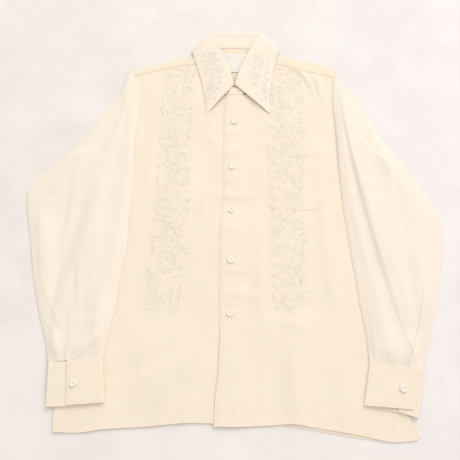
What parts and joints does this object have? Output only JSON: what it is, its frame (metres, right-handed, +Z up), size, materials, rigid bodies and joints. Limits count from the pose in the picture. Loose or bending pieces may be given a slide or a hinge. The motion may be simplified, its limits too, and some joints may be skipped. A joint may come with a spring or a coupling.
{
  "type": "embroidered shirt",
  "caption": "Long-sleeved buttoned shirt laid flat on its back, sleeves folded down its sides, with a pointed collar, a chest pocket and flower embroidery on both fronts.",
  "frame": {"origin": "centre of the overall box, on the face that rests on the surface", "axes": "+X to the right as the laid-out shirt is seen from above with its collar up, +Y from the hem towards the collar, +Z up out of the surface"},
  "size_m": [0.7505, 0.7985, 0.0147],
  "materials": {
    "cream_cloth": "cream shirting cloth",
    "yoke_cloth": "cream shirting cloth, a little yellower",
    "collar_cloth": "cream shirting cloth with a stiff layer inside",
    "label_cloth": "white woven tape, bare",
    "button_plastic": "polished white plastic"
  },
  "bodies": {
    "root": {"back": "cream_cloth", "yoke": "yoke_cloth", "front_left": "cream_cloth", "front_right": "cream_cloth", "placket": "cream_cloth", "pocket": "cream_cloth", "sleeve_left": "cream_cloth", "sleeve_right": "cream_cloth", "slit_band_left": "cream_cloth", "slit_band_right": "cream_cloth", "cuff_left": "cream_cloth", "cuff_right": "cream_cloth", "collar": "collar_cloth", "collar_stand": "collar_cloth", "label": "label_cloth", "button_1": "button_plastic", "button_2": "button_plastic", "button_3": "button_plastic", "button_4": "button_plastic", "button_5": "button_plastic", "button_cuff_left": "button_plastic", "button_cuff_right": "button_plastic"}
  },
  "joints": []
}
